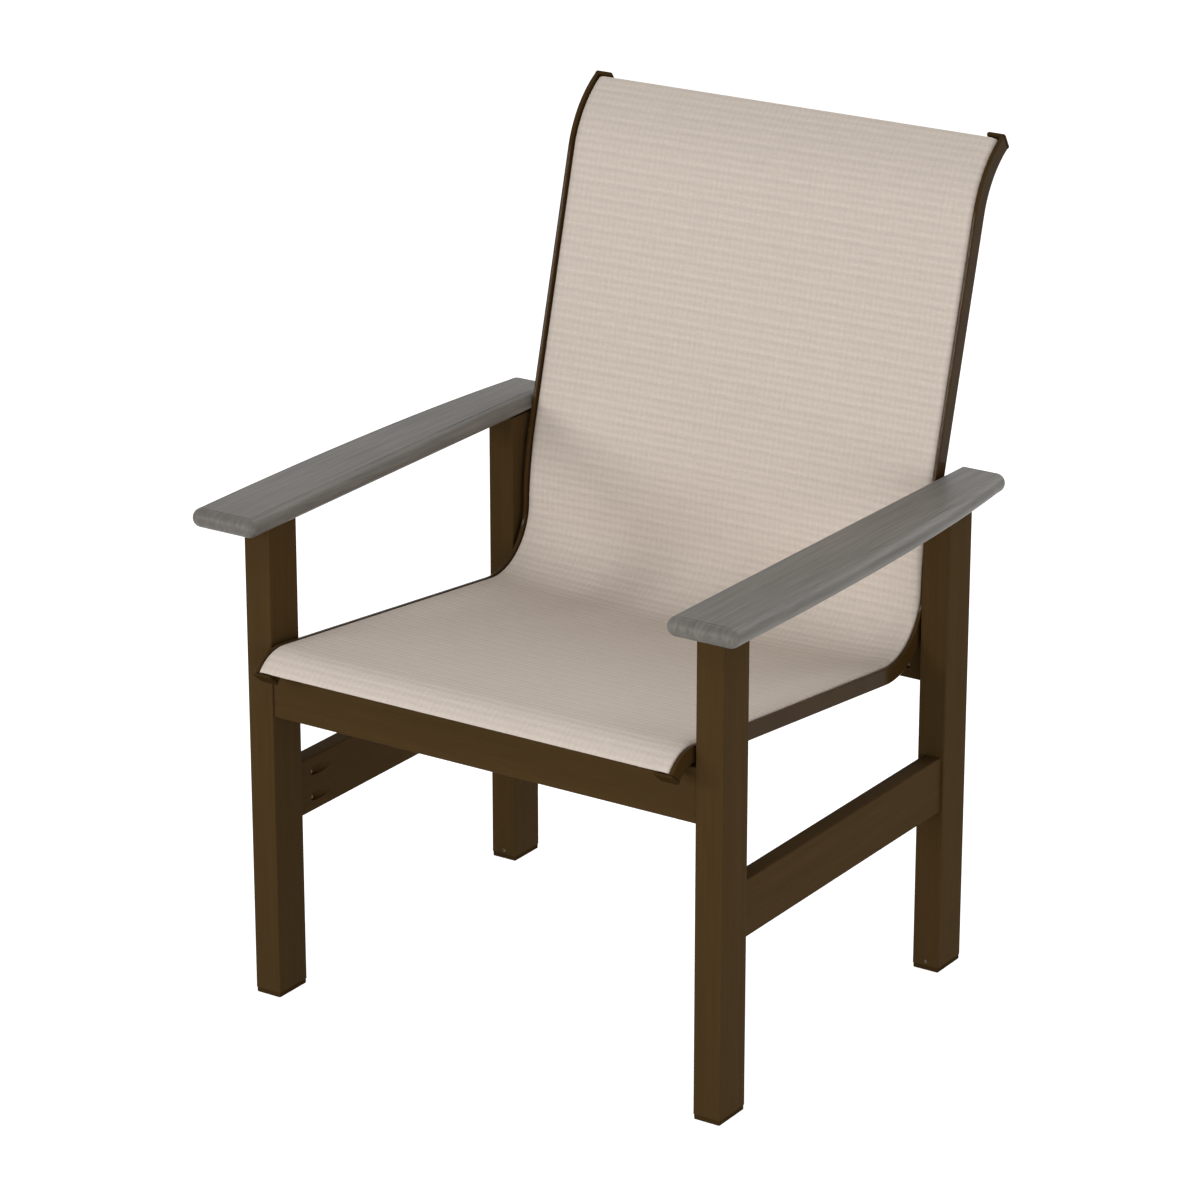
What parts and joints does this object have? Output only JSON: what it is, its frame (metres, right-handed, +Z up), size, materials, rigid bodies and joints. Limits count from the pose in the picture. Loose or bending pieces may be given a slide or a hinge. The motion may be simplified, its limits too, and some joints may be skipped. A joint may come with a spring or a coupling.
{
  "type": "sling patio chair",
  "caption": "Outdoor armchair with square-cut brown poly lumber legs, bowed grey wood-grained arms and a woven fabric sling held between two bent metal rails.",
  "frame": {"origin": "on the floor, under the middle of the chair's box", "axes": "+Z up, +X to the right as seen from the front, -Y is where the sitter faces"},
  "size_m": [0.752, 0.7404, 1.0053],
  "materials": {
    "brown_lumber": "extruded poly lumber, dark brown, satin with faint lengthwise streaks",
    "grey_lumber": "extruded poly lumber, weathered grey with a brushed wood grain along the arms",
    "brown_powder_coat": "dark brown powder coat on aluminium, satin",
    "woven_sling": "vinyl-coated woven fabric, pale warm grey, fine ribs across the chair",
    "brown_nylon": "moulded nylon, dark brown, matt",
    "spline_plastic": "extruded plastic rod, off-white",
    "coated_steel": "steel screw with a dark brown coating"
  },
  "bodies": {
    "root": {"front_leg_left": "brown_lumber", "back_leg_left": "brown_lumber", "front_leg_right": "brown_lumber", "back_leg_right": "brown_lumber", "side_stretcher_left": "brown_lumber", "side_stretcher_right": "brown_lumber", "front_cross_rail": "brown_lumber", "back_cross_rail": "brown_lumber", "arm_left": "grey_lumber", "arm_right": "grey_lumber", "glide_front_left": "brown_nylon", "glide_back_left": "brown_nylon", "glide_front_right": "brown_nylon", "glide_back_right": "brown_nylon", "sling_rail_left": "brown_powder_coat", "sling_rail_right": "brown_powder_coat", "rail_spacer_front_left": "brown_nylon", "rail_spacer_bend_left": "brown_nylon", "rail_spacer_back_left": "brown_nylon", "rail_spacer_front_right": "brown_nylon", "rail_spacer_bend_right": "brown_nylon", "rail_spacer_back_right": "brown_nylon", "sling": "woven_sling", "spline_left": "spline_plastic", "spline_right": "spline_plastic", "end_cap_front_left": "brown_nylon", "end_cap_top_left": "brown_nylon", "end_cap_front_right": "brown_nylon", "end_cap_top_right": "brown_nylon", "back_spreader": "brown_powder_coat", "stretcher_screw_front_left_lower": "coated_steel", "stretcher_screw_front_left_upper": "coated_steel", "stretcher_screw_back_left_lower": "coated_steel", "stretcher_screw_back_left_upper": "coated_steel", "stretcher_screw_front_right_lower": "coated_steel", "stretcher_screw_front_right_upper": "coated_steel", "stretcher_screw_back_right_lower": "coated_steel", "stretcher_screw_back_right_upper": "coated_steel", "cross_rail_screw_front_left_lower": "coated_steel", "cross_rail_screw_front_left_upper": "coated_steel", "cross_rail_screw_front_right_lower": "coated_steel", "cross_rail_screw_front_right_upper": "coated_steel", "cross_rail_screw_back_left_lower": "coated_steel", "cross_rail_screw_back_left_upper": "coated_steel", "cross_rail_screw_back_right_lower": "coated_steel", "cross_rail_screw_back_right_upper": "coated_steel", "arm_screw_front_left": "coated_steel", "arm_screw_back_left": "coated_steel", "arm_screw_front_right": "coated_steel", "arm_screw_back_right": "coated_steel", "glide_screw_front_left": "coated_steel", "glide_screw_back_left": "coated_steel", "glide_screw_front_right": "coated_steel", "glide_screw_back_right": "coated_steel", "rail_screw_front_left": "coated_steel", "rail_screw_bend_left": "coated_steel", "rail_screw_back_left": "coated_steel", "rail_screw_front_right": "coated_steel", "rail_screw_bend_right": "coated_steel", "rail_screw_back_right": "coated_steel"}
  },
  "joints": []
}
